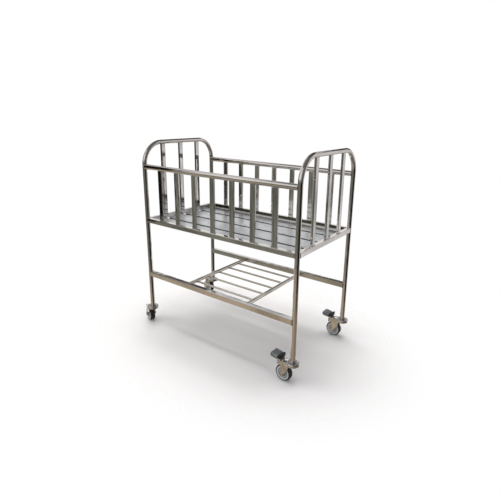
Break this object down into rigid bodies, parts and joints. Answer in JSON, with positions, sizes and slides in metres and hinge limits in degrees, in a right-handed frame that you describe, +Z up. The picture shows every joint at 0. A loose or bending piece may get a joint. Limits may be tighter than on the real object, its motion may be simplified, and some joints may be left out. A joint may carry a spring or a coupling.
{
  "type": "hospital bassinet",
  "caption": "Stainless-steel hospital bassinet with slatted sides, arched end frames, a sheet mattress deck, an open rod shelf and swivel casters, braked at one end.",
  "frame": {"origin": "on the floor under the middle of the overall outline", "axes": "+X along the crib to the end with the brakes, +Y to the rear side, +Z up"},
  "size_m": [0.9786, 0.5361, 0.957],
  "materials": {
    "polished_tube": "mirror-polished stainless steel",
    "polished_bar": "mirror-polished stainless steel",
    "deck_sheet": "bright stainless sheet with a fine grain along the crib",
    "shelf_steel": "polished stainless steel",
    "caster_chrome": "bright chrome plate",
    "caster_steel": "zinc-plated steel",
    "tyre_rubber": "matt black rubber",
    "hub_plastic": "light grey moulded plastic",
    "guard_plastic": "mid-grey moulded plastic",
    "pedal_metal": "blue-grey plated steel",
    "release_rubber": "black moulded rubber"
  },
  "bodies": {
    "frame": {"left_end_tube": "polished_tube", "left_deck_rail": "polished_tube", "left_end_bars": "polished_bar", "right_end_tube": "polished_tube", "right_deck_rail": "polished_tube", "right_end_bars": "polished_bar", "front_deck_rail": "polished_tube", "front_low_rail": "polished_tube", "front_top_rail": "polished_tube", "front_slats": "polished_bar", "rear_deck_rail": "polished_tube", "rear_low_rail": "polished_tube", "rear_top_rail": "polished_tube", "rear_slats": "polished_bar", "deck_strip_1": "deck_sheet", "deck_strip_2": "deck_sheet", "deck_strip_3": "deck_sheet", "deck_strip_4": "deck_sheet", "left_shelf_tube": "shelf_steel", "right_shelf_tube": "shelf_steel", "shelf_rods": "shelf_steel", "front_left_stem": "caster_steel", "front_right_stem": "caster_steel", "rear_left_stem": "caster_steel", "rear_right_stem": "caster_steel"},
    "front_left_swivel": {"front_left_swivel_race": "caster_steel", "front_left_fork": "caster_chrome", "front_left_axle_bolt": "caster_steel", "front_left_axle_nut": "caster_steel"},
    "front_left_wheel": {"front_left_tyre": "tyre_rubber", "front_left_wheel_hub": "hub_plastic", "front_left_thread_guards": "guard_plastic"},
    "front_right_swivel": {"front_right_swivel_race": "caster_steel", "front_right_fork": "caster_chrome", "front_right_axle_bolt": "caster_steel", "front_right_axle_nut": "caster_steel", "front_right_pedal_pin": "caster_steel"},
    "front_right_wheel": {"front_right_tyre": "tyre_rubber", "front_right_wheel_hub": "hub_plastic", "front_right_thread_guards": "guard_plastic"},
    "front_right_pedal": {"front_right_brake_pedal": "pedal_metal", "front_right_release_pad": "release_rubber"},
    "rear_left_swivel": {"rear_left_swivel_race": "caster_steel", "rear_left_fork": "caster_chrome", "rear_left_axle_bolt": "caster_steel", "rear_left_axle_nut": "caster_steel"},
    "rear_left_wheel": {"rear_left_tyre": "tyre_rubber", "rear_left_wheel_hub": "hub_plastic", "rear_left_thread_guards": "guard_plastic"},
    "rear_right_swivel": {"rear_right_swivel_race": "caster_steel", "rear_right_fork": "caster_chrome", "rear_right_axle_bolt": "caster_steel", "rear_right_axle_nut": "caster_steel", "rear_right_pedal_pin": "caster_steel"},
    "rear_right_wheel": {"rear_right_tyre": "tyre_rubber", "rear_right_wheel_hub": "hub_plastic", "rear_right_thread_guards": "guard_plastic"},
    "rear_right_pedal": {"rear_right_brake_pedal": "pedal_metal", "rear_right_release_pad": "release_rubber"}
  },
  "joints": [
    {"name": "front_left_swivel_joint", "type": "hinge", "parent": "frame", "child": "front_left_swivel", "pos_m": [-0.40975, -0.2365, 0.1], "axis": [0, 0, 1], "continuous": true},
    {"name": "front_left_wheel_joint", "type": "hinge", "parent": "front_left_swivel", "child": "front_left_wheel", "pos_m": [-0.44922, -0.22213, 0.0375], "axis": [-0.342, -0.9397, 0], "continuous": true},
    {"name": "front_right_swivel_joint", "type": "hinge", "parent": "frame", "child": "front_right_swivel", "pos_m": [0.46025, -0.2365, 0.1], "axis": [0, 0, 1], "continuous": true},
    {"name": "front_right_wheel_joint", "type": "hinge", "parent": "front_right_swivel", "child": "front_right_wheel", "pos_m": [0.41828, -0.23503, 0.0375], "axis": [-0.0349, -0.9994, 0], "continuous": true},
    {"name": "front_right_pedal_joint", "type": "hinge", "parent": "front_right_swivel", "child": "front_right_pedal", "pos_m": [0.40029, -0.23441, 0.092], "axis": [-0.0349, -0.9994, 0], "range_deg": [0, 12]},
    {"name": "rear_left_swivel_joint", "type": "hinge", "parent": "frame", "child": "rear_left_swivel", "pos_m": [-0.40975, 0.2365, 0.1], "axis": [0, 0, 1], "continuous": true},
    {"name": "rear_left_wheel_joint", "type": "hinge", "parent": "rear_left_swivel", "child": "rear_left_wheel", "pos_m": [-0.45134, 0.24235, 0.0375], "axis": [-0.1392, -0.9903, 0], "continuous": true},
    {"name": "rear_right_swivel_joint", "type": "hinge", "parent": "frame", "child": "rear_right_swivel", "pos_m": [0.46025, 0.2365, 0.1], "axis": [0, 0, 1], "continuous": true},
    {"name": "rear_right_wheel_joint", "type": "hinge", "parent": "rear_right_swivel", "child": "rear_right_wheel", "pos_m": [0.41825, 0.2365, 0.0375], "axis": [0, -1, 0], "continuous": true},
    {"name": "rear_right_pedal_joint", "type": "hinge", "parent": "rear_right_swivel", "child": "rear_right_pedal", "pos_m": [0.40025, 0.2365, 0.092], "axis": [0, -1, 0], "range_deg": [0, 12]}
  ]
}
